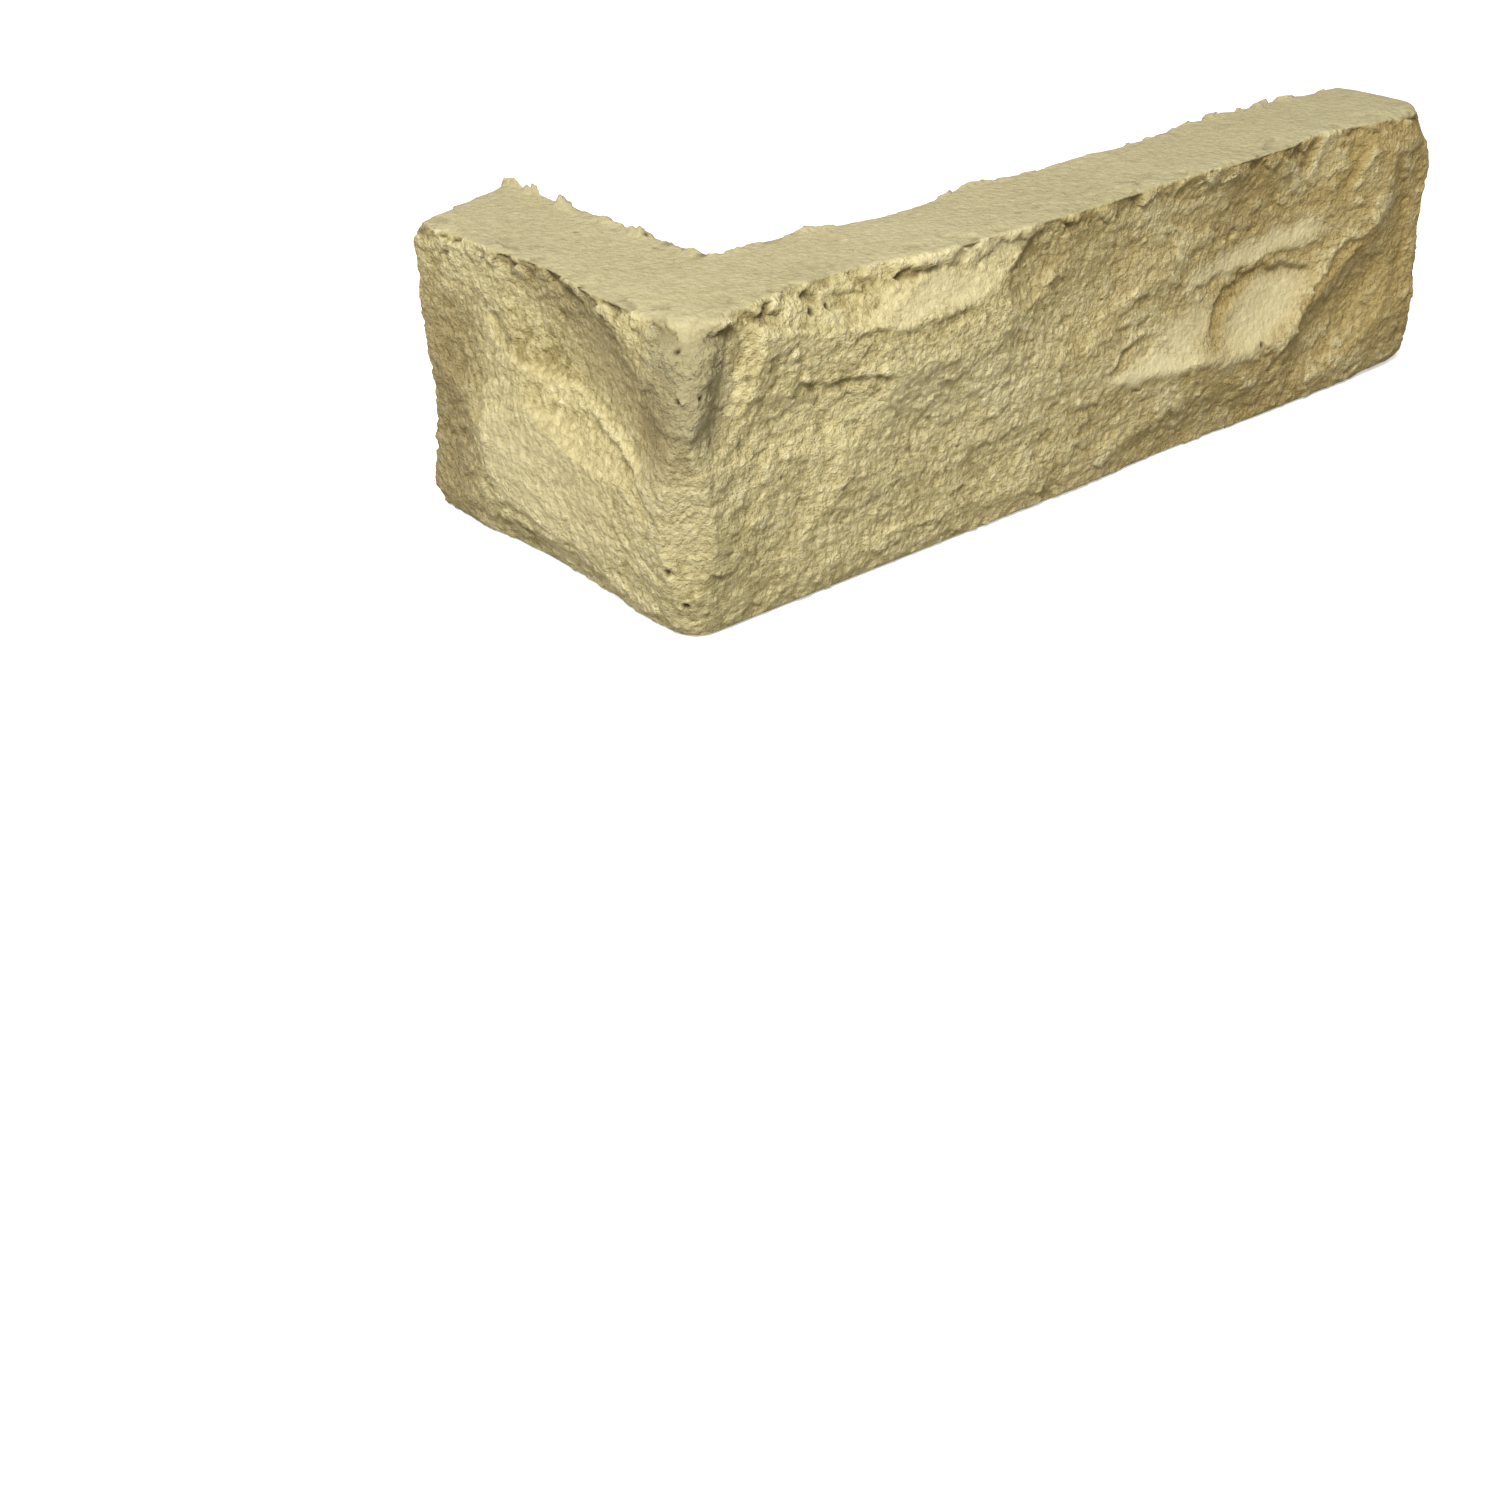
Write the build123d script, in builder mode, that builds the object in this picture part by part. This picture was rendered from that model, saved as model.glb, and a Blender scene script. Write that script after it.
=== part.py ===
from build123d import *

import os
from dataclasses import dataclass
from math import cos, radians, sin, sqrt

# Facing stone corner: one L-shaped unit of cast stone that wraps the outer corner of a wall.
# It stands on its lower bed, with the long leg along X and the short leg along Y.
# The outer faces are crowned and hewn: shallow dishes, where flakes broke away, meet in ridges.
# Everything is in millimetres and degrees.

# Overall size
long_leg = 237.0
short_leg = 110.0
height = 65.0
thickness = 34.0
short_end_skew = 12.0  # the short leg's end is broken off aslant, and its outer face is shorter by this

# How far the crowned faces fall back at the bed and at the top, and where they stand out most
long_foot_fall = 4.5
long_top_fall = 3.5
long_crown_height = 44.0
short_foot_fall = 3.5
short_top_fall = 3.2
short_crown_height = 22.0

# Rounding
arris_radius = 7.0  # the outer corner
inner_radius = 3.0  # where the two backs meet
end_round = 5.0  # the free ends, at the bed and the top

# The origin is in the middle of the overall box, on the bed, and the sharp outer corner is here.
outer_x = -long_leg / 2
outer_y = -short_leg / 2
inner_x = outer_x + thickness
inner_y = outer_y + thickness
long_end_x = outer_x + long_leg
short_end_y = outer_y + short_leg
short_face_end_y = short_end_y - short_end_skew


@dataclass
class Scar:
    """The dish that one flake leaves, placed on a face by its middle."""

    along: float  # from the start of the face
    up: float  # above the bed
    length: float
    width: float  # across the length, and never more than it
    depth: float  # at the middle
    turn: float = 0.0  # from level to the line of its length
    lean: float = 0.0  # how far it looks up, or down where negative
    swing: float = 0.0  # how far it looks along the face
    sunk: float = 0.0  # how far the ground that it was struck from lies behind the face


@dataclass
class HewnFace:
    """A hewn side: where it starts, which way it runs, which way it looks, and its scars."""

    start: Vector
    along: Vector
    facing: Vector
    scars: list


corner = Vector(outer_x, outer_y, 0)
up_axis = Vector(0, 0, 1)

long_face = HewnFace(
    start=corner,
    along=Vector(1, 0, 0),
    facing=Vector(0, -1, 0),
    scars=[
        # The flake off the top edge beside the nose of the corner, and the ledge at its foot
        Scar(along=0.177 * long_leg, up=height - 4, length=0.253 * long_leg, width=36, depth=5.6, lean=36),
        Scar(
            along=0.28 * long_leg, up=height - 8, length=0.39 * long_leg, width=19, depth=2.2, turn=3, lean=22
        ),
        # The ground beside the nose, deepest at the groove along the nose's flank
        Scar(along=0.152 * long_leg, up=height - 22, length=66, width=50, depth=3.8, turn=64, swing=-5),
        Scar(along=16, up=height - 12, length=48, width=12, depth=5.8, turn=69),
        # The ground of the middle and the foot
        Scar(along=0.278 * long_leg, up=13, length=0.549 * long_leg, width=60, depth=3.2, turn=4),
        Scar(along=0.464 * long_leg, up=20, length=0.388 * long_leg, width=46, depth=3.0, turn=8),
        # The hollow past the shelf, and the dull ground under the top edge
        Scar(along=0.414 * long_leg, up=height - 7, length=30, width=18, depth=4.4, turn=42),
        Scar(along=0.549 * long_leg, up=height - 11, length=0.38 * long_leg, width=44, depth=4.6, turn=2),
        # The hollows whose lower sides catch the light
        Scar(along=0.582 * long_leg, up=26, length=0.278 * long_leg, width=30, depth=3.0, turn=8, lean=16),
        Scar(along=0.726 * long_leg, up=height - 19, length=0.405 * long_leg, width=56, depth=7.0, turn=5),
        Scar(along=0.738 * long_leg, up=28, length=0.27 * long_leg, width=30, depth=5.0, turn=14, lean=20),
        # The foot under them
        Scar(along=0.633 * long_leg, up=3, length=0.506 * long_leg, width=32, depth=5.2, turn=2, lean=-9),
        # The slope past the ridge, the ground before the free end, and the end's broken edge and corner
        Scar(along=long_leg - 33, up=20, length=68, width=30, depth=5.6, turn=36),
        Scar(along=long_leg - 16, up=36, length=62, width=34, depth=3.4, turn=78, swing=8),
        Scar(along=long_leg, up=height - 34, length=96, width=26, depth=5.0, turn=88, swing=46),
        Scar(along=long_leg - 3, up=height - 3, length=40, width=34, depth=6.2, turn=70, lean=22, swing=44),
        # Small flakes struck from that ground, from under the ledge to the foot and under the top edge
        Scar(along=0.31 * long_leg, up=43, length=34, width=16, depth=1.3, turn=3, sunk=0.2),
        Scar(along=0.194 * long_leg, up=38, length=32, width=14, depth=1.2, turn=-6, swing=-10, sunk=2.2),
        Scar(along=0.414 * long_leg, up=33, length=44, width=18, depth=1.2, turn=12, sunk=0.9),
        Scar(along=0.27 * long_leg, up=27, length=40, width=18, depth=1.0, turn=-8, sunk=2.4),
        Scar(along=0.127 * long_leg, up=24, length=34, width=18, depth=1.1, turn=70, sunk=2.9),
        Scar(along=0.19 * long_leg, up=12, length=40, width=16, depth=1.0, turn=6, sunk=2.9),
        Scar(along=0.37 * long_leg, up=14, length=42, width=16, depth=1.0, turn=-4, sunk=2.8),
        Scar(along=0.525 * long_leg, up=13, length=36, width=16, depth=1.1, turn=4, sunk=2.5),
        Scar(along=0.5 * long_leg, up=height - 18, length=34, width=16, depth=1.0, turn=14, sunk=3.6),
        Scar(along=0.64 * long_leg, up=height - 11, length=34, width=15, depth=1.0, turn=-10, sunk=4.9),
        Scar(along=0.79 * long_leg, up=height - 11, length=34, width=16, depth=1.0, turn=50, sunk=5.4),
    ],
)

short_face = HewnFace(
    start=corner,
    along=Vector(0, 1, 0),
    facing=Vector(-1, 0, 0),
    scars=[
        # The deep trough beside the nose, running down towards the corner
        Scar(along=34, up=height - 16, length=76, width=38, depth=7.0, turn=22, swing=7),
        # The ground between the trough and the free end
        Scar(along=78, up=height - 12, length=84, width=54, depth=5.4, turn=-20),
        Scar(along=short_leg - short_end_skew - 2, up=24, length=70, width=44, depth=3.8, turn=76),
        # The foot, which turns under a little
        Scar(along=50, up=0, length=100, width=26, depth=4.8, turn=2, lean=-16),
    ],
)

# The outer corner, seen along the diagonal between the two faces
arris = HewnFace(
    start=corner,
    along=Vector(1, -1, 0).normalized(),
    facing=Vector(-1, -1, 0).normalized(),
    scars=[
        # The flat below the nose
        Scar(along=0, up=21, length=62, width=36, depth=6.8, turn=90),
        # The worn top of the nose
        Scar(along=0, up=height, length=30, width=16, depth=2.4, lean=45, sunk=8.7),
    ],
)

# The free end of the long leg, seen from beyond it
long_end_face = HewnFace(
    start=Vector(long_end_x, outer_y, 0),
    along=Vector(0, 1, 0),
    facing=Vector(1, 0, 0),
    scars=[
        # The middle, broken back
        Scar(along=8, up=height - 26, length=50, width=36, depth=3.6, turn=34),
        Scar(along=thickness, up=height - 24, length=38, width=24, depth=2.0, turn=80),
        # The foot
        Scar(along=12, up=6, length=32, width=18, depth=1.8, lean=-14),
    ],
)

# The free end of the short leg, seen from beyond it
short_end_face = HewnFace(
    start=Vector(outer_x, short_face_end_y, 0),
    along=Vector(thickness, short_end_skew, 0).normalized(),
    facing=Vector(-short_end_skew, thickness, 0).normalized(),
    scars=[
        Scar(along=9, up=28, length=46, width=30, depth=2.6, turn=80),
        Scar(along=thickness - 4, up=30, length=40, width=26, depth=2.0, turn=64),
    ],
)

# The back of the long leg, worn hollow along its top edge
long_back = HewnFace(
    start=Vector(inner_x, inner_y, 0),
    along=Vector(1, 0, 0),
    facing=Vector(0, 1, 0),
    scars=[
        Scar(along=46, up=height, length=46, width=22, depth=4.0),
        Scar(along=0.44 * long_leg, up=height, length=0.3 * long_leg, width=20, depth=2.6),
    ],
)


def scar_plane(face, scar):
    """A plane through the scar's length, with local X along it and local Y the way it looks."""
    lean, swing, turn = radians(scar.lean), radians(scar.swing), radians(scar.turn)
    outward = face.facing * cos(swing) + face.along * sin(swing)
    looks = outward * cos(lean) + up_axis * sin(lean)
    rise = up_axis * cos(lean) - outward * sin(lean)
    level = face.along * cos(swing) - face.facing * sin(swing)
    line = level * cos(turn) + rise * sin(turn)
    middle = face.start + face.along * scar.along + up_axis * scar.up - face.facing * scar.sunk
    return Plane(origin=middle, x_dir=line, z_dir=line.cross(looks))


def dish_radius(span, depth):
    """Radius of the arc that is this deep in the middle of this span."""
    return (span**2 / 4 + depth**2) / (2 * depth)


with BuildPart() as corner_stone:
    # The plain block
    with BuildSketch() as plan:
        with BuildLine():
            Polyline(
                (outer_x, outer_y),
                (long_end_x, outer_y),
                (long_end_x, inner_y),
                (inner_x, inner_y),
                (inner_x, short_end_y),
                (outer_x, short_face_end_y),
                close=True,
            )
        make_face()
        fillet(plan.vertices().sort_by_distance((inner_x, inner_y))[0], inner_radius)
    extrude(amount=height)

    # The crown of both outer faces: only what is behind it stays
    for plane, face_at, span, depth, foot_fall, top_fall, crown_height in (
        (Plane.YZ, outer_y, long_leg, short_leg, long_foot_fall, long_top_fall, long_crown_height),
        (Plane.XZ, outer_x, short_leg, long_leg, short_foot_fall, short_top_fall, short_crown_height),
    ):
        foot, crown, top = (face_at + foot_fall, 0), (face_at, crown_height), (face_at + top_fall, height)
        with BuildSketch(plane):
            with BuildLine():
                TangentArc(crown, top, tangent=(0, 1))
                TangentArc(crown, foot, tangent=(0, -1))
                Polyline(top, (face_at + depth, height), (face_at + depth, 0), foot)
            make_face()
        extrude(amount=span / 2, both=True, mode=Mode.INTERSECT)

    # The outer corner, rounded
    outer_edges = corner_stone.edges().filter_by_position(Axis.X, outer_x, outer_x + short_top_fall)
    fillet(outer_edges.filter_by_position(Axis.Y, outer_y, outer_y + long_foot_fall), arris_radius)

    # The free ends, rounded over where they meet the bed and the top
    for end in (corner_stone.faces().sort_by(Axis.X)[-1], corner_stone.faces().sort_by(Axis.Y)[-1]):
        rim = end.edges().sort_by(Axis.Z)
        fillet((rim[0], rim[-1]), end_round)

    # The hewn faces: each dish is cut by a barrel, an arc spun about the chord under it.
    # The arc is drawn on the side away from the stone, which keeps the barrel's seam out of the cut.
    for face in (long_face, short_face, arris, long_end_face, short_end_face, long_back):
        for scar in face.scars:
            long_radius = dish_radius(scar.length, scar.depth)
            cross_radius = dish_radius(scar.width, scar.depth)
            spin_height = cross_radius - scar.depth
            half_barrel = sqrt(2 * long_radius * cross_radius - cross_radius**2)
            plane = scar_plane(face, scar)
            with BuildSketch(plane):
                with BuildLine():
                    left, right = (-half_barrel, spin_height), (half_barrel, spin_height)
                    ThreePointArc(left, (0, spin_height + cross_radius), right)
                    Line(right, left)
                make_face()
            spin_axis = Axis(plane.from_local_coords((0, spin_height, 0)), plane.x_dir)
            revolve(axis=spin_axis, mode=Mode.SUBTRACT)

corner_stone.part.label = "corner_stone"

os.makedirs("parts", exist_ok=True)
export_step(corner_stone.part, "parts/corner_stone.step")
print(corner_stone.part.bounding_box(), "volume", corner_stone.part.volume)
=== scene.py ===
# %% [markdown]
# # Facing stone corner
# This lesson dresses one cast facing stone: an L that wraps the outer corner of a wall.
# Its two outer faces copy split rock, so nearly all of its looks come from relief.
# The CAD solid gives the size and the main scars, and Blender adds the skin of the stone.

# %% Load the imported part
import math

import bmesh
import bpy
import numpy as np
from mathutils import Matrix, Vector, noise


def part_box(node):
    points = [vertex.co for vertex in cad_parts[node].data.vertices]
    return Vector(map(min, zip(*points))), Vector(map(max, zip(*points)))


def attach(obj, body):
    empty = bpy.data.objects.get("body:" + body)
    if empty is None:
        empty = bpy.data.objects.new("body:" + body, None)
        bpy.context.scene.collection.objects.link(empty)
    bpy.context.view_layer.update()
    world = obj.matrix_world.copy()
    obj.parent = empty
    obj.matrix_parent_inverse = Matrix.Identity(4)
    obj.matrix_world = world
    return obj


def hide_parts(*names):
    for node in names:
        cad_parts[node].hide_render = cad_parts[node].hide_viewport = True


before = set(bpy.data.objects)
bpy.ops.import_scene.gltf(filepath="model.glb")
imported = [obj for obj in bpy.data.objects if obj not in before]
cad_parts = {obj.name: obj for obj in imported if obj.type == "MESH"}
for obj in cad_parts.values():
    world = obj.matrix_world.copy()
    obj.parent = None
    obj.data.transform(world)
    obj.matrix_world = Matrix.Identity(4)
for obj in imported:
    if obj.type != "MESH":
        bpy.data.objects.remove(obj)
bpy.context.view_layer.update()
low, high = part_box("corner_stone")

# %% [markdown]
# ## Units
# Blender works in metres, and a stone is easier to think about in millimetres.
# A place on the stone is given by its distance from the outer corner along a leg, and its height.

# %% Units and the block's own measures
mm = 0.001
long_leg = (high.x - low.x) / mm
short_leg = (high.y - low.y) / mm
height = high.z / mm
thickness = 34.0  # of both legs, as in the CAD
outer_corner = np.array([low.x / mm, low.y / mm, 0.0])
print("legs", round(long_leg, 1), round(short_leg, 1), "height", round(height, 1))

# %% [markdown]
# ## An even skin
# The CAD mesh is loose triangles, long and thin on the flat sides, and relief needs small even ones.
# Subdividing would keep the slivers, so a copy is merged and given a voxel skin instead.
# The skin starts finer than the finished piece may be, and is thinned once the relief is on it.

# %% Copy the solid and remesh it
skin_step = 0.55

stone = bpy.data.objects.new("hewn_corner_stone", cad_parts["corner_stone"].data.copy())
bpy.context.scene.collection.objects.link(stone)
merged = bmesh.new()
merged.from_mesh(stone.data)
bmesh.ops.remove_doubles(merged, verts=merged.verts, dist=0.005 * mm)
merged.to_mesh(stone.data)
merged.free()


def keep_modifier(piece, kind, **settings):
    """Adds a modifier with these settings and keeps its result as the piece's own mesh."""
    modifier = piece.modifiers.new(kind.lower(), kind)
    for name, value in settings.items():
        setattr(modifier, name, value)
    depsgraph = bpy.context.evaluated_depsgraph_get()
    made = bpy.data.meshes.new_from_object(piece.evaluated_get(depsgraph))
    piece.modifiers.remove(modifier)
    piece.data = made


keep_modifier(stone, "REMESH", mode="VOXEL", voxel_size=skin_step * mm)
stone.data.materials.clear()
count = len(stone.data.vertices)
print("skin of", count, "vertices")

# %% [markdown]
# ## Worn ridges
# The CAD dishes meet in knife edges, and the mould that cast this stone had none.
# A bevel cannot follow such ridges, so the skin is relaxed instead. Every pass of Smooth moves each vertex
# towards its neighbours, which leaves flats alone and rounds edges a little more each time.
# All edges get a few passes. The places that were knocked most get many, weighted by a vertex group.


# %% Skin helpers
def fade(value, start, end):
    """0 before start, 1 after end, and smooth between."""
    t = np.clip((value - start) / (end - start), 0, 1)
    return t * t * (3 - 2 * t)


def read_skin(what):
    """A row of three numbers for every vertex: its place, or the way it looks."""
    values = np.empty(count * 3)
    stone.data.vertices.foreach_get(what, values)
    return values.reshape(-1, 3)


def wear(passes, share):
    """Rounds the edges of the skin by so many passes, where this share of each vertex is above nothing."""
    group = stone.vertex_groups.new(name="worn")
    touched = np.flatnonzero(share > 0.02)
    for index in touched:
        group.add([int(index)], float(share[index]), "REPLACE")
    keep_modifier(stone, "SMOOTH", iterations=passes, factor=0.5, vertex_group="worn")
    stone.vertex_groups.clear()
    print(passes, "passes on", len(touched), "vertices")


# %% Wear the edges
x, y, z = (read_skin("co") / mm - outer_corner).T
upper = fade(z, height - 18, height - 10)
lower = 1 - fade(z, 6, 14)
at_nose = (1 - fade(x, 14, 24)) * (1 - fade(y, 14, 24))
at_long_end = fade(x, long_leg - 24, long_leg - 16)
at_short_end = fade(y, short_leg - 36, short_leg - 28) * (1 - fade(x, 12, 20))

wear(6, np.ones(count))
wear(200, upper * at_nose)
wear(140, (upper + lower) * at_long_end)
wear(100, upper * at_short_end)

# %% [markdown]
# ## Which side is which
# Every vertex gets a share of each side from the way it looks: hewn faces, cast beds, backs.
# The shares fade into each other over the edges, so that relief does too.

# %% Share the skin out
places = read_skin("co") / mm
looks = read_skin("normal")
s_long, s_short, rise = (places - outer_corner).T

on_long = fade(-looks[:, 1], 0.25, 0.7)
on_short = fade(-looks[:, 0], 0.25, 0.7)
on_long_end = fade(looks[:, 0], 0.3, 0.75) * fade(s_long, 150, 200)
on_short_end = fade(looks[:, 1], 0.3, 0.75) * fade(s_short, 60, 80)
on_top = fade(looks[:, 2], 0.6, 0.95) * fade(rise, height - 10, height - 3)
on_bed = fade(-looks[:, 2], 0.6, 0.95)
hewn = np.clip(on_long + on_short + on_long_end + on_short_end, 0, 1)
hewn *= 1 - np.maximum(on_top, on_bed)
backs = np.clip(1 - hewn - on_top - on_bed, 0, 1)
near_nose = hewn * (1 - fade(s_long, 9, 18)) * (1 - fade(s_short, 9, 18))
faces = {
    "long": (s_long, rise, on_long),
    "short": (s_short, rise, on_short),
    "nose": ((s_long - s_short) / math.sqrt(2), rise, near_nose),
    "top": (s_long, s_short, on_top),
}
print("hewn share", round(float(hewn.mean()), 3), "backs", round(float(backs.mean()), 3))

# %% [markdown]
# ## Noise with a real size
# Rock is rough at every size: swells as long as a finger, flakes like a nail, grains like sand.
# One helper gives noise of any period in millimetres, the same on every run.
# Soft noise rolls. Hard noise folds at zero, which leaves round grains with sharp creases between them.
# Broken bits are the cells of a Voronoi pattern, with steps between them like those of a flaked surface.


# %% Noise helpers
def noise_spots(period, seed, stretch):
    """Where each vertex looks into the noise. Every seed looks at another part of it."""
    shift = Vector((seed * 13.7, seed * 5.3, seed * 9.1))
    return [Vector(place) + shift for place in places / (period * np.array(stretch))]


def even_out(values):
    """The same field, about 0 and with a spread of 1."""
    field = np.array(values)
    return (field - field.mean()) / field.std()


def roughness(period, octaves=3, seed=0, stretch=(1, 1, 1), hard=False):
    """Noise at every vertex, with bumps this many millimetres across."""
    spots = noise_spots(period, seed, stretch)
    if hard:
        return even_out([noise.turbulence(spot, octaves, True) for spot in spots])
    return even_out([noise.fractal(spot, 1.0, 2.0, octaves) for spot in spots])


def broken_bits(period, seed=0, stretch=(1, 1, 1)):
    """Bits of rock this many millimetres across, each with a level and a tilt of its own."""
    steepness = 2.5
    levels = []
    for spot in noise_spots(period, seed, stretch):
        middle = noise.voronoi(spot)[1][0]
        tilt = noise.cell_vector(middle * 9.7) - Vector((0.5, 0.5, 0.5))
        levels.append(noise.cell(middle * 7.3) + steepness * tilt.dot(spot - middle))
    return even_out(levels)


def terraces(field, step):
    """Smooth noise cut into ledges, each with a short steep scarp below it."""
    level = np.floor(field / step)
    return step * (level + fade(field / step - level, 0.7, 1.0))


# %% The noises of this stone
swell = roughness(24, 2, seed=1)
scarps = terraces(roughness(9, 3, seed=2, stretch=(1.4, 1.4, 0.8)), 0.8)
bits = broken_bits(3.4, seed=4, stretch=(1.3, 1.3, 0.9))
grain = roughness(2.6, 2, seed=3, hard=True)
wander_along = 0.45 * roughness(7, 3, seed=5)
wander_up = 0.45 * roughness(7, 3, seed=6)
print("noise at", count, "vertices")

# %% [markdown]
# ## Listed scars
# The marks that make this stone itself are drawn one by one, as a sculptor would cut them.
# A mark is a line of a few points on a face: distance from the outer corner, and height.
# Beside the line the skin rises or sinks by a height that runs out over a reach, on each side its own.
# So one kind of mark makes a ridge, a crack, or a ledge that stands out above and drops below.


# %% Mark helper
def beside(u, v, points):
    """Distance from a line of points, positive on its left, and the distance along it to its nearer end."""
    gap = np.full(count, np.inf)
    side = np.zeros(count)
    run = np.zeros(count)
    total = 0.0
    for (u0, v0), (u1, v1) in zip(points, points[1:]):
        length = math.hypot(u1 - u0, v1 - v0)
        du, dv = (u1 - u0) / length, (v1 - v0) / length
        t = np.clip((u - u0) * du + (v - v0) * dv, 0, length)
        apart = np.hypot(u - u0 - t * du, v - v0 - t * dv)
        nearer = apart < gap
        gap = np.where(nearer, apart, gap)
        side = np.where(nearer, np.sign(du * (v - v0) - dv * (u - u0)), side)
        run = np.where(nearer, total + t, run)
        total += length
    return gap * side, np.minimum(run, total - run)


def mark(face, points, left, right, taper, crisp):
    """Relief beside a line: left and right are each a height at the line and how far it reaches."""
    u, v, share = faces[face]
    signed, to_end = beside(u + wander_along, v + wander_up, points)
    gap = np.abs(signed)
    left_side = left[0] * np.clip(1 - gap / left[1], 0, 1) ** 1.3
    right_side = right[0] * np.clip(1 - gap / right[1], 0, 1) ** 1.3
    over = fade(signed, -crisp, crisp)
    return share * fade(to_end, 0, taper) * (over * left_side + (1 - over) * right_side)


# %% Marks
marks = [
    # face, points, height and reach on the left, height and reach on the right, taper at the ends,
    # and how wide the step from one side to the other is
    # The groove along the nose's flank, and the streaks beside it
    ("long", [(20, 67), (11.5, 59), (8, 52), (7.5, 45)], (-0.8, 5), (-0.7, 5), 4, 2.0),
    ("long", [(17, 65), (14.5, 56), (12.5, 48), (12, 42)], (0.2, 2), (-0.3, 2), 5, 0.6),
    ("long", [(22, 65), (19, 55), (16.5, 46)], (0.2, 2), (-0.3, 2), 6, 0.6),
    # The lip under the nose
    ("nose", [(-8, 49), (-5, 45.5), (-1, 43.6), (3, 44), (6, 47)], (0.35, 4), (-0.4, 5), 3, 1.2),
    # The crack under the flake off the top edge
    ("long", [(30, 49.5), (33, 47.8), (36, 46), (42, 45), (50, 45), (57, 43)], (0.3, 3), (-0.9, 3), 6, 0.6),
    # The ledge of that flake, with its long shadow line
    ("long", [(38, 53), (51, 54), (57, 52.5), (67, 52), (75, 52.6), (84, 54.4)],
     (0.3, 5), (-0.4, 3), 14, 0.8),
    # The thin crack at the flake's head
    ("long", [(44, 59.5), (50, 62), (57, 63.4), (62, 62.4), (70, 62), (78, 61), (84, 59.5)],
     (0.1, 3), (-0.3, 2), 6, 0.6),
    # The shelf's broken edge, with the hollow past it
    ("long", [(80, 53.6), (87, 56), (91, 59), (95, 62), (98, 67)], (0.3, 5), (-0.8, 7), 5, 1.6),
    # The upper lip of the eye, and the ridge past it
    ("long", [(156, 21), (156, 27), (158, 33), (162, 35.5), (170, 37), (178, 37.2), (188, 35.5), (197, 34)],
     (0.4, 4), (-1.3, 6), 8, 0.8),
    ("long", [(217, 41), (205, 38), (197, 32), (191, 25), (184, 19), (176, 13)],
     (-0.8, 7), (0.5, 6), 8, 1.2),
    # The pale band over the eye
    ("long", [(143, 36.5), (158, 39), (174, 38.6), (190, 39.6), (200, 40)], (0.4, 6), (-0.3, 3), 10, 0.8),
    # The lower flakes
    ("long", [(115, 21), (124, 22.6), (134, 21.2), (144, 20.2), (156, 18.6), (172, 17), (184, 17.5)],
     (0.3, 6), (-0.3, 6), 9, 1.2),
    ("long", [(119, 26), (127, 30.5), (136, 32)], (0.4, 4), (-0.9, 5), 6, 0.8),
    ("long", [(113, 34), (122, 35.6), (133, 34.4)], (0.3, 4), (-0.3, 4), 6, 0.8),
    # Folds under the top edge near the free end, and at the foot
    ("long", [(195, 67), (191, 61), (187, 54)], (0.5, 5), (-1.1, 7), 6, 1.6),
    ("long", [(208, 64), (206, 56), (202, 46)], (0.5, 5), (-1.2, 7), 6, 1.6),
    ("long", [(216, 60), (226, 46), (229, 33), (228, 22)], (0.5, 5), (-0.5, 6), 8, 1.2),
    ("long", [(210, 34), (203, 24), (196, 14)], (0.3, 4), (-0.4, 4), 8, 1.0),
    ("long", [(222, 34), (214, 22), (206, 10)], (0.3, 4), (-0.4, 4), 8, 1.2),
    ("long", [(165, 15), (170, 8), (174, 2)], (0.3, 5), (-0.4, 5), 5, 1.2),
    ("long", [(187, 14), (189, 8), (188, 2)], (0.3, 5), (-0.4, 5), 5, 1.2),
    # The foot of the trough, and the crease under it
    ("short", [(13, 31), (25, 37), (47, 43), (68, 45), (76, 52)], (-0.9, 14), (0.2, 5), 8, 1.6),
    ("short", [(9, 24), (11.5, 27), (14.6, 30), (19, 33), (26, 35), (32, 37), (42, 39.5)],
     (0.3, 4), (-0.8, 5), 7, 0.8),
    # Cracks over the swell, its foot, and the edge where the end is broken back
    ("short", [(43, 38), (50, 37.4), (57, 36.8)], (0.2, 3), (-0.4, 3), 5, 0.8),
    ("short", [(48, 41.5), (55, 40), (62, 38)], (0.2, 3), (-0.4, 3), 5, 0.8),
    ("short", [(32, 8), (43, 9), (54, 11), (70, 12.4)], (0.3, 7), (-0.4, 5), 8, 1.2),
    ("short", [(70, 8), (72, 20), (73, 32), (78, 44)], (0.3, 6), (-0.4, 6), 8, 1.2),
]
relief = np.zeros(count)
for each in marks:
    relief += mark(*each)
print(len(marks), "marks from", round(float(relief.min()), 2), "to", round(float(relief.max()), 2))

# %% [markdown]
# ## Smooth flakes
# Where a flake came off clean, the stone is smooth and pale. Each is a soft ellipse on a face.

# %% Smooth flakes
flakes = [
    # face, along, up, half length, half height, turn in degrees, and how smooth
    ("long", 68, 57, 19, 4.0, 3, 0.8),
    ("long", 82, 64, 18, 3.5, 0, 0.8),
    ("long", 175, 27, 20, 7.5, 20, 0.9),
    ("long", 174, 41.5, 28, 3.4, 4, 0.9),
    ("long", 136, 23.6, 20, 3.0, -6, 0.9),
    ("long", 148, 29, 10, 6, 10, 0.8),
    ("short", 50, 23, 28, 14, 8, 0.6),
    ("short", 24, 44, 22, 9, 30, 0.35),
]


def ellipse(face, along, up, half_length, half_height, turn):
    """1 inside a soft ellipse on a face and 0 outside it."""
    u, v, share = faces[face]
    c, s = math.cos(math.radians(turn)), math.sin(math.radians(turn))
    du, dv = u + 2 * wander_along - along, v + 2 * wander_up - up
    reach = np.hypot((du * c + dv * s) / half_length, (dv * c - du * s) / half_height)
    return share * (1 - fade(reach, 0.4, 1.3))


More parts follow.
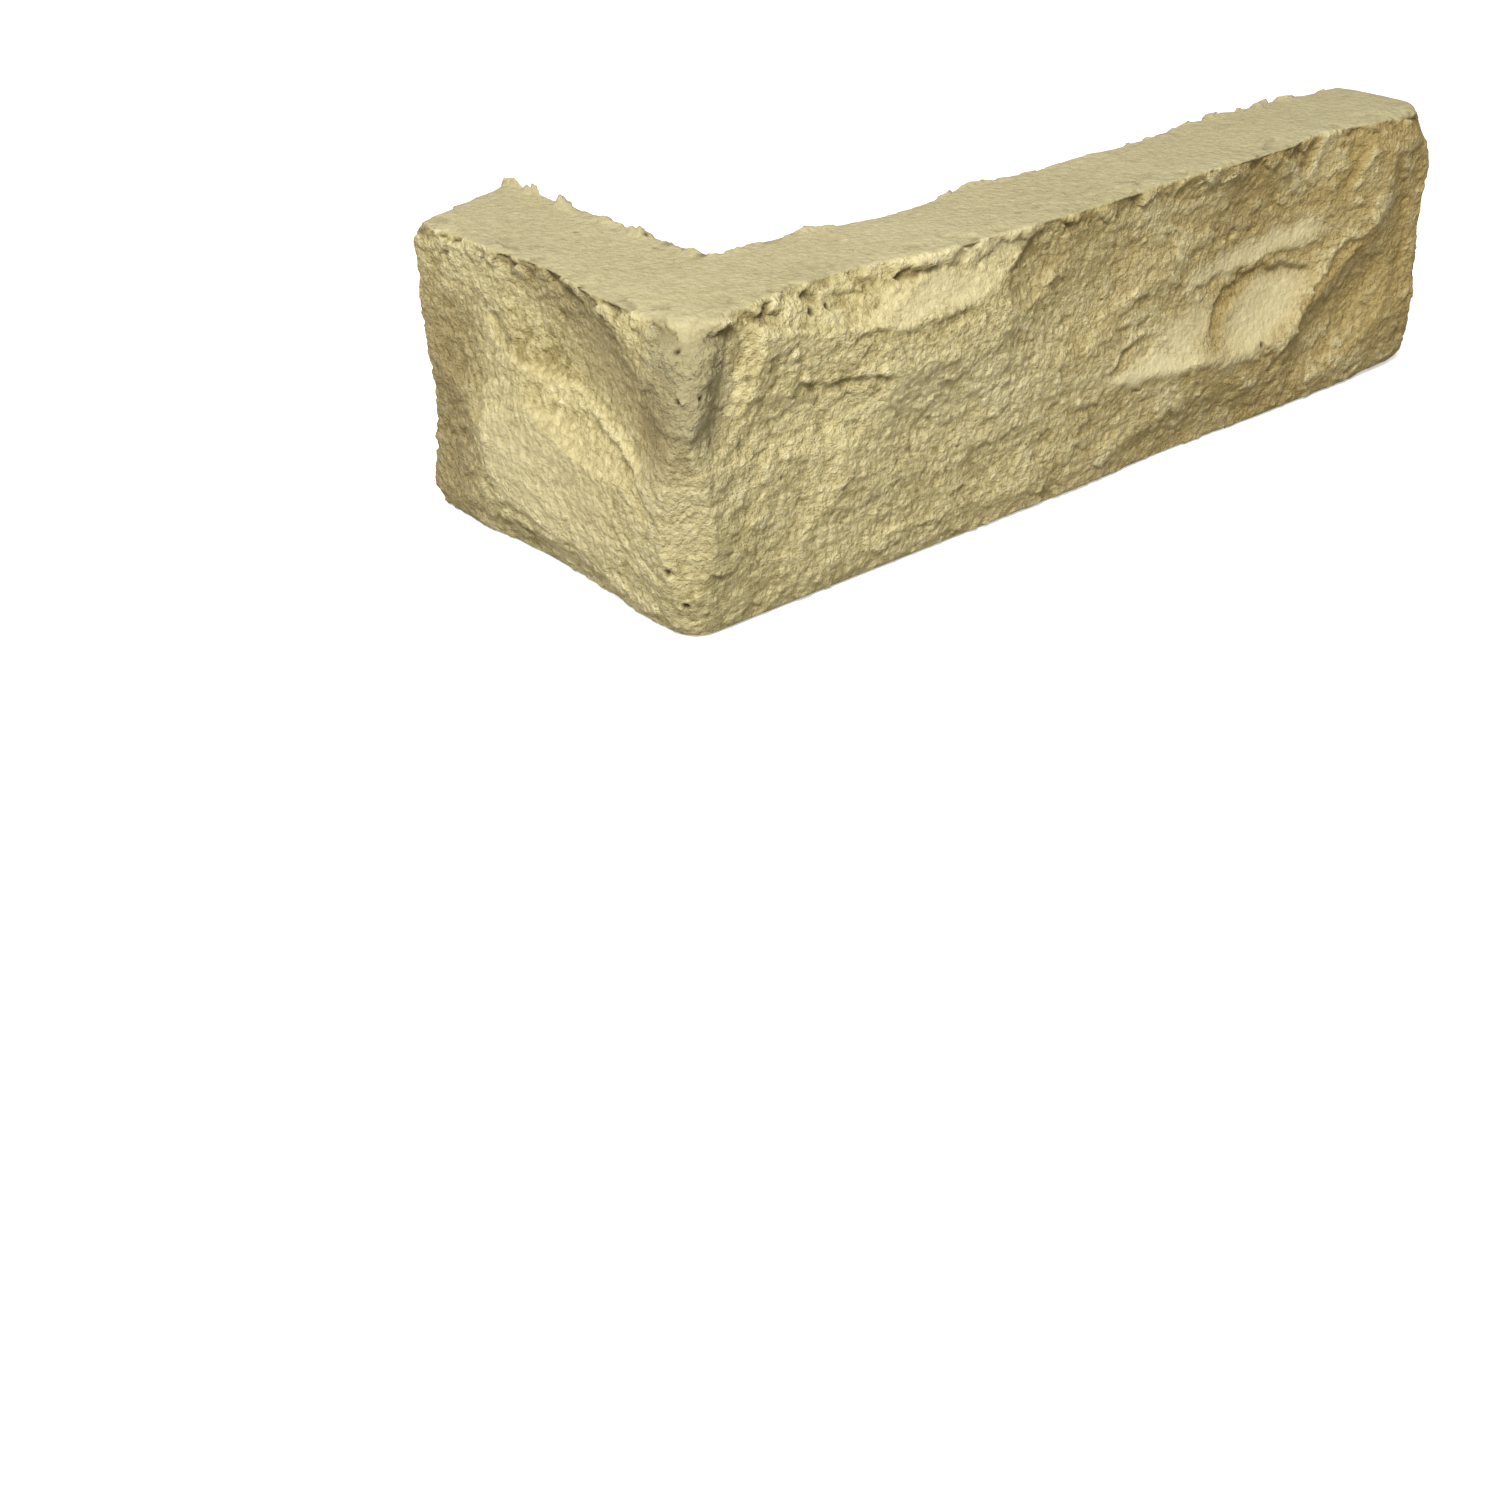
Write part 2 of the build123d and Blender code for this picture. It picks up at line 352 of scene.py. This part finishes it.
smooth = np.zeros(count)
for *where, most in flakes:
    smooth = np.maximum(smooth, most * ellipse(*where))
print("smooth share of the skin", round(float(smooth.mean()), 3))

# %% [markdown]
# ## Rough ground
# Everything between the flakes is rough: swells, thin scarps, broken bits, and grains of a few millimetres.
# The cast top is nearly flat, and the backs keep the dull waves of the pour.
# Grains too small for this mesh are left to the material.

# %% Rough the sides
swell_height = 0.15
scarp_height = 0.06
bit_height = 0.16
grain_height = 0.1
rough = hewn * (1 - 0.85 * smooth)

relief += (hewn + backs) * swell_height * swell
relief += rough * (scarp_height * scarps + bit_height * bits + grain_height * grain)
relief += on_top * (0.1 * swell + 0.03 * bits)
print("relief", round(float(relief.min()), 2), round(float(relief.max()), 2))

# %% [markdown]
# ## Pits and crumbs
# Air bubbles in the mix left a few pits, and a grain of aggregate stands out here and there.

# %% Pits and crumbs
pits = [
    # face, along, up, radius, depth
    ("long", 37, 60, 1.0, 1.2),
    ("long", 41, 60, 0.8, 0.9),
    ("long", 6, 51.4, 0.8, 0.8),
    ("long", 173, 20, 1.1, 1.0),
    ("short", 6, 60, 0.8, 0.8),
    ("short", 4.2, 51, 0.8, 0.9),
    ("short", 8, 15, 1.0, 1.0),
    ("short", 5.6, 7.5, 0.9, 0.9),
    ("top", 33, 40, 1.2, 1.0),
    ("top", 37, 34, 1.2, 1.0),
    ("top", 30, 46, 1.0, 0.9),
    ("top", 32.5, 53, 0.9, 0.8),
    ("top", 31, 62, 0.8, 0.7),
    ("top", 24, 66, 0.7, 0.5),
    ("top", 199, 17, 0.8, 0.6),
    ("top", 196.5, 17.6, 0.7, 0.5),
]
grains = [
    # face, along, up, radius, height
    ("long", 31, 53, 1.6, 0.9),
    ("long", 33.5, 47.5, 1.5, 0.9),
    ("long", 28, 33, 1.6, 0.7),
    ("top", 60, 22, 1.4, 0.5),
]
# Each pit is also painted dark, as the shade inside it.
pit_and_gap_shade = np.zeros(count)
for face, along, up, radius, depth in pits:
    u, v, share = faces[face]
    hole = share * (1 - fade(np.hypot(u - along, v - up), 0.3 * radius, radius))
    pit_and_gap_shade = np.maximum(pit_and_gap_shade, hole)
    relief -= depth * hole
for face, along, up, radius, lump in grains:
    u, v, share = faces[face]
    relief += lump * share * (1 - fade(np.hypot(u - along, v - up), 0.2 * radius, radius))
print(len(pits), "pits and", len(grains), "grains")

# %% [markdown]
# ## Crumbled edges
# The back edges of the pour kept crumbs, which stand up raggedly along the short leg.
# The top edge of the hewn faces lost some, and the gaps left between the bits there are painted dark, as
# shade.

# %% Crumbs that stand on the back edges
far = 99
back_line = np.minimum(
    np.hypot(np.where(s_long > thickness, s_short - thickness, far), rise - height),
    np.hypot(np.where(s_short > thickness, s_long - thickness, far), rise - height),
)
back_edge = 1 - fade(back_line, 0.8, 3.5)
on_short_back = fade(s_short, thickness, thickness + 6)
ragged = np.clip(roughness(9, 3, seed=8) - 0.2, 0, 2.2)
crumbs = np.clip(bits, -0.5, 2) + 0.5
lift = back_edge * (0.45 * crumbs + (0.1 + 1.3 * on_short_back) * ragged)
print("back edges raised by up to", round(float(lift.max()), 2))

# %% Bits that are gone from the top edge
top_edge = (1 - backs) * (1 - on_top) * fade(rise, height - 5, height - 2)
near_front = on_top * (1 - fade(np.minimum(s_long, s_short), 8, 16))
relief += top_edge * (0.35 * bits - 0.15) + near_front * 0.12 * bits

# The gaps between bits on the top edge and between crumbs at the inner corner are painted dark, as shade.
front_gap_shade = np.maximum(top_edge * fade(-bits, 0.6, 1.4), near_front * fade(-bits, 1.2, 1.8))
inner_corner = 1 - fade(np.hypot(s_long - thickness, s_short - thickness), 6, 26)
corner_gap_shade = inner_corner * back_edge * fade(-bits, 0.2, 1.0)
pit_and_gap_shade = np.maximum(pit_and_gap_shade, np.maximum(0.35 * front_gap_shade, 0.7 * corner_gap_shade))
print("dark gaps on", round(float((pit_and_gap_shade > 0.2).mean()), 4), "of the skin")

# %% [markdown]
# ## Stains and painted shade
# The trough of the short leg and its broken end are browner, partly stained by damp and partly as painted
# shade, with painted shadow over the low end.
# The hollow past the shelf is painted darker, as shade, and there is one rusty fleck at the head of the
# flake.

# %% Stains and painted shade
stain_and_shade_spots = [
    # face, along, up, half length, half height, turn in degrees, and how strong
    # The trough's upper wall faces down: a stain with painted shade over it.
    ("short", 34, 54, 38, 11, 22, 0.75),
    ("short", 12, 40, 9, 8, 50, 0.4),
    # The hollow past the shelf: painted shade.
    ("long", 98, 58, 6, 9, -30, 0.5),
    ("long", 64, 62.4, 3, 1.2, 5, 1.0),
]
# The broken end and the low part of the short face near it: a stain with painted shadow over it.
stain_and_painted_shade = on_short_end + on_short * fade(s_short, 66, 88) * (1 - fade(rise, 44, 60))
for *where, most in stain_and_shade_spots:
    stain_and_painted_shade += most * ellipse(*where)
print("stained share", round(float(stain_and_painted_shade.mean()), 3))

# %% [markdown]
# ## Move the skin
# All the relief is added up by now, so every vertex moves once, along the way it looks.
# What the colour needs to know of each vertex is kept with the mesh as named attributes.

# %% Move the skin
moved = places + looks * relief[:, None]
moved[:, 2] += lift
stone.data.vertices.foreach_set("co", (moved * mm).ravel())
print("skin moved by", round(float(np.abs(relief).mean()), 2), "mm on average")

# %% Keep what the colour needs
# Ochre grows along the long leg, and is painted strongest in the hollows, as shade, and weaker on ridges
# and clean flakes.
hollow_shade_less_on_flakes = (1 - 0.6 * fade(relief, -0.1, 0.5)) * (1 - 0.5 * smooth)
attributes = {
    "relief": relief,
    "ochre_and_hollow_shade": fade(s_long, 50, 190) * hewn * hollow_shade_less_on_flakes,
    "smooth": smooth,
    "fine": np.maximum(smooth, 0.6 * on_top),
    "cast_top": on_top,
    "nose": near_nose * (0.25 + 0.75 * fade(rise, 36, 48)),
    "stain_and_shade": np.clip(stain_and_painted_shade, 0, 1),
    "painted_pit_shade": pit_and_gap_shade,
}
for name, values in attributes.items():
    layer = stone.data.attributes.new(name, "FLOAT", "POINT")
    layer.data.foreach_set("value", values.astype(np.float32))
stone.data.update()
print("attributes", list(attributes))

# %% [markdown]
# ## Thin the skin
# Decimate takes triangles away where the stone is flat and leaves them on the grains.

# %% Thin the skin
most_triangles = 196000


def triangle_count(piece):
    """How many triangles the piece's mesh has once its faces are cut up."""
    return sum(len(face.vertices) - 2 for face in piece.data.polygons)


before = triangle_count(stone)
keep_modifier(stone, "DECIMATE", ratio=most_triangles / before)
for face in stone.data.polygons:
    face.use_smooth = True
print("triangles", before, "thinned to", triangle_count(stone))

# %% [markdown]
# ## Cast stone
# The stone is concrete, coloured through with yellow ochre and poured wet into a soft mould of split rock.
# The dry cement skin has no gloss and a sandy grain, so it looks matt and shows its relief in soft shade.
# Hollows are painted darker, as shade, and ridges paler, as light, so the relief that was put on also tints
# the stone.


# %% Colour and node helpers
def srgb(code):
    """A hex colour, as seen on a screen, in the linear numbers that shaders use."""
    parts = [int(code[i : i + 2], 16) / 255 for i in (1, 3, 5)]
    return [c / 12.92 if c <= 0.04045 else ((c + 0.055) / 1.055) ** 2.4 for c in parts] + [1.0]


def add_node(tree, kind, settings=None, inputs=None):
    """Adds one node, sets its options, and fills or links its inputs."""
    node = tree.nodes.new(kind)
    for name, value in (settings or {}).items():
        setattr(node, name, value)
    for name, value in (inputs or {}).items():
        if isinstance(value, bpy.types.NodeSocket):
            tree.links.new(value, node.inputs[name])
        else:
            node.inputs[name].default_value = value
    return node


# %% Cast stone
cast_stone = bpy.data.materials.new("cast_stone_ochre_cream")
cast_stone.use_nodes = True
tree = cast_stone.node_tree
shader = tree.nodes["Principled BSDF"]
shader.inputs["Roughness"].default_value = 0.93
shader.inputs["Specular IOR Level"].default_value = 0.3
at = add_node(tree, "ShaderNodeTexCoord").outputs["Object"]
part = {}
for name in attributes:
    part[name] = add_node(tree, "ShaderNodeAttribute", {"attribute_name": name}).outputs["Fac"]

# %% [markdown]
# ## Its colour
# A tone is summed from relief, which paints shade into hollows and light onto ridges, cloudy blotches,
# specks and small chips, and a ramp turns it into colour.
# Tints then go over it, each where its attribute says: ochre with painted shade in the hollows, pale
# flakes, stains with painted shade, and painted shade in pits and gaps.

# %% Its tone
blotch_size = 26
speck_size = 1.6
chip_size = 1.7

blotch = add_node(
    tree, "ShaderNodeTexNoise", inputs={"Vector": at, "Scale": 1000 / blotch_size, "Detail": 4}
).outputs["Fac"]
speck = add_node(
    tree, "ShaderNodeTexNoise", inputs={"Vector": at, "Scale": 1000 / speck_size, "Detail": 4}
).outputs["Fac"]
chips = add_node(tree, "ShaderNodeTexVoronoi", inputs={"Vector": at, "Scale": 1000 / chip_size}).outputs
chip_level = add_node(
    tree,
    "ShaderNodeMath",
    {"operation": "MULTIPLY_ADD"},
    {0: chips["Distance"], 1: -0.9, 2: chips["Color"]},
).outputs[0]
# Relief in the tone is painted shade in the hollows and painted light on the ridges.
tone = add_node(
    tree, "ShaderNodeMapRange", inputs={"Value": part["relief"], "From Min": -1.0, "From Max": 1.0}
).outputs["Result"]
for cloud, weight in ((blotch, 0.6), (speck, 1.4), (chip_level, 0.3)):
    tone = add_node(
        tree, "ShaderNodeMath", {"operation": "MULTIPLY_ADD"}, {0: cloud, 1: weight, 2: tone}
    ).outputs[0]
tone = add_node(
    tree, "ShaderNodeMapRange", inputs={"Value": tone, "From Min": 0.9, "From Max": 2.1}
).outputs["Result"]

# %% Its colour
ramp = add_node(tree, "ShaderNodeValToRGB", inputs={"Fac": tone})
ramp.color_ramp.elements[0].color = srgb("#948554")
ramp.color_ramp.elements[1].color = srgb("#DACFA2")
ramp.color_ramp.elements.new(0.5).color = srgb("#C5B785")
colour = ramp.outputs["Color"]
# The ochre tint also paints shade into hollows, the stain tint paints shade and shadow, and the pit tint
# paints the shade in pits and gaps.
for name, tint, strength in (
    ("ochre_and_hollow_shade", "#9C824A", 0.68),
    ("smooth", "#D1C59B", 0.65),
    ("cast_top", "#A09878", 0.6),
    ("nose", "#8F8665", 0.72),
    ("stain_and_shade", "#7F6A42", 0.6),
    ("painted_pit_shade", "#3E3320", 0.9),
):
    share = add_node(
        tree, "ShaderNodeMath", {"operation": "MULTIPLY"}, {0: part[name], 1: strength}
    ).outputs[0]
    colour = add_node(
        tree, "ShaderNodeMix", {"data_type": "RGBA"}, {0: share, 6: colour, 7: srgb(tint)}
    ).outputs[2]
tree.links.new(colour, shader.inputs["Base Color"])

# %% [markdown]
# ## Its sand
# Real sand is finer than this picture can show, so it is drawn at about a millimetre.
# The chips that speckle the colour lift the surface too. Clean flakes and the cast top get less of it.

# %% Its sand
sand_size = 0.9
sand_height = 1.0

sand = add_node(
    tree,
    "ShaderNodeTexNoise",
    inputs={"Vector": at, "Scale": 1000 / sand_size, "Detail": 3, "Roughness": 0.65},
).outputs["Fac"]
sandy = add_node(
    tree, "ShaderNodeMath", {"operation": "MULTIPLY_ADD"}, {0: chip_level, 1: 0.5, 2: sand}
).outputs[0]
sandiness = add_node(
    tree, "ShaderNodeMath", {"operation": "MULTIPLY_ADD"}, {0: part["fine"], 1: -0.6, 2: 1.0}
).outputs[0]
bump = add_node(
    tree, "ShaderNodeBump", inputs={"Height": sandy, "Strength": sandiness, "Distance": sand_height * mm}
)
tree.links.new(bump.outputs["Normal"], shader.inputs["Normal"])
stone.data.materials.append(cast_stone)

# %% Name its place in the part
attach(stone, "root")
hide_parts("corner_stone")

# %% [markdown]
# ## Floor
# A plain pale floor. To the camera it is white paper with a faint glow of its own, so that it stays white
# far from the lamp and still shows the stone's shadow. To the light that bounces off it, it is greyer,
# so that it does not fill the shade under the ledges.


# %% What the camera sees
def seen_by_camera(tree):
    """1 for a ray that the camera sees, straight or in gloss or glass, and 0 for light that bounces."""
    ray = add_node(tree, "ShaderNodeLightPath").outputs
    seen = ray["Is Camera Ray"]
    for kind in ("Is Glossy Ray", "Is Transmission Ray"):
        seen = add_node(tree, "ShaderNodeMath", {"operation": "ADD"}, {0: seen, 1: ray[kind]}).outputs[0]
    return seen


# %% Floor
floor_reach = 3.0
floor_gap = 0.5 * mm

floor_mesh = bpy.data.meshes.new("studio_floor")
floor_bm = bmesh.new()
bmesh.ops.create_grid(floor_bm, x_segments=1, y_segments=1, size=floor_reach)
floor_bm.to_mesh(floor_mesh)
floor_bm.free()
floor = bpy.data.objects.new("studio_floor", floor_mesh)
bpy.context.scene.collection.objects.link(floor)
floor.location.z = -floor_gap

# %% Paper
paper_glow = 0.5

paper = bpy.data.materials.new("matt_white_paper")
paper.use_nodes = True
paper_tree = paper.node_tree
paper_shader = paper_tree.nodes["Principled BSDF"]
paper_shader.inputs["Roughness"].default_value = 0.9
paper_shader.inputs["Emission Color"].default_value = (1, 1, 1, 1)
seen = seen_by_camera(paper_tree)
glow = add_node(
    paper_tree, "ShaderNodeMath", {"operation": "MULTIPLY"}, {0: seen, 1: paper_glow}
).outputs[0]
paper_tone = add_node(
    paper_tree, "ShaderNodeMix", {"data_type": "RGBA"}, {0: seen, 6: srgb("#A09E99"), 7: srgb("#F6F5F2")}
).outputs[2]
paper_tree.links.new(paper_tone, paper_shader.inputs["Base Color"])
paper_tree.links.new(glow, paper_shader.inputs["Emission Strength"])
floor_mesh.materials.append(paper)

# %% [markdown]
# ## Light
# One softbox stands at the left, a little in front and above, and a pale room fills the shade.
# The room is dim to the stone, which keeps the relief crisp, and white to the camera.

# %% Room
room_light = 0.28

world = bpy.data.worlds.new("studio")
bpy.context.scene.world = world
world.use_nodes = True
room = world.node_tree.nodes["Background"]
room.inputs["Color"].default_value = (1, 1, 1, 1)
room_strength = add_node(
    world.node_tree,
    "ShaderNodeMath",
    {"operation": "MULTIPLY_ADD"},
    {0: seen_by_camera(world.node_tree), 1: 1 - room_light, 2: room_light},
).outputs[0]
world.node_tree.links.new(room_strength, room.inputs["Strength"])

# %% Softbox
lamp_place = Vector((-0.75, -0.61, 1.08))
lamp_aim = Vector((0, 0, 0.03))

lamp = bpy.data.objects.new("key_softbox", bpy.data.lights.new("key_softbox", "AREA"))
lamp.data.size = 0.5
lamp.data.energy = 28.0
lamp.location = lamp_place
lamp.rotation_mode = "QUATERNION"
lamp.rotation_quaternion = (lamp_place - lamp_aim).to_track_quat("Z", "Y")
bpy.context.scene.collection.objects.link(lamp)
print("softbox", round((lamp_place - lamp_aim).length, 2), "m from the stone")

# %% [markdown]
# ## Camera
# The camera stands where the photographer stood: over the outer corner, looking down along the long leg.
# Its three axes and its place were fitted to the edges of the stone.

# %% Camera
camera = bpy.data.objects.new("camera", bpy.data.cameras.new("camera"))
bpy.context.scene.collection.objects.link(camera)
camera.data.sensor_width = 36.0
camera.data.lens = 49.2
camera.data.clip_start = 0.01
right = Vector((0.77537, -0.63088, -0.02809))
up = Vector((0.34442, 0.38519, 0.85615))
back = Vector((-0.52931, -0.67351, 0.51596))
stand = Matrix((right, up, back)).transposed().to_4x4()
stand.translation = Vector((-328.89, -340.05, 191.53)) * mm
camera.matrix_world = stand
bpy.context.scene.camera = camera
bpy.context.scene.view_settings.view_transform = "Standard"

# %% [markdown]
# ## The end
# The view layer is brought up to date once more.

# %% The end
bpy.context.view_layer.update()
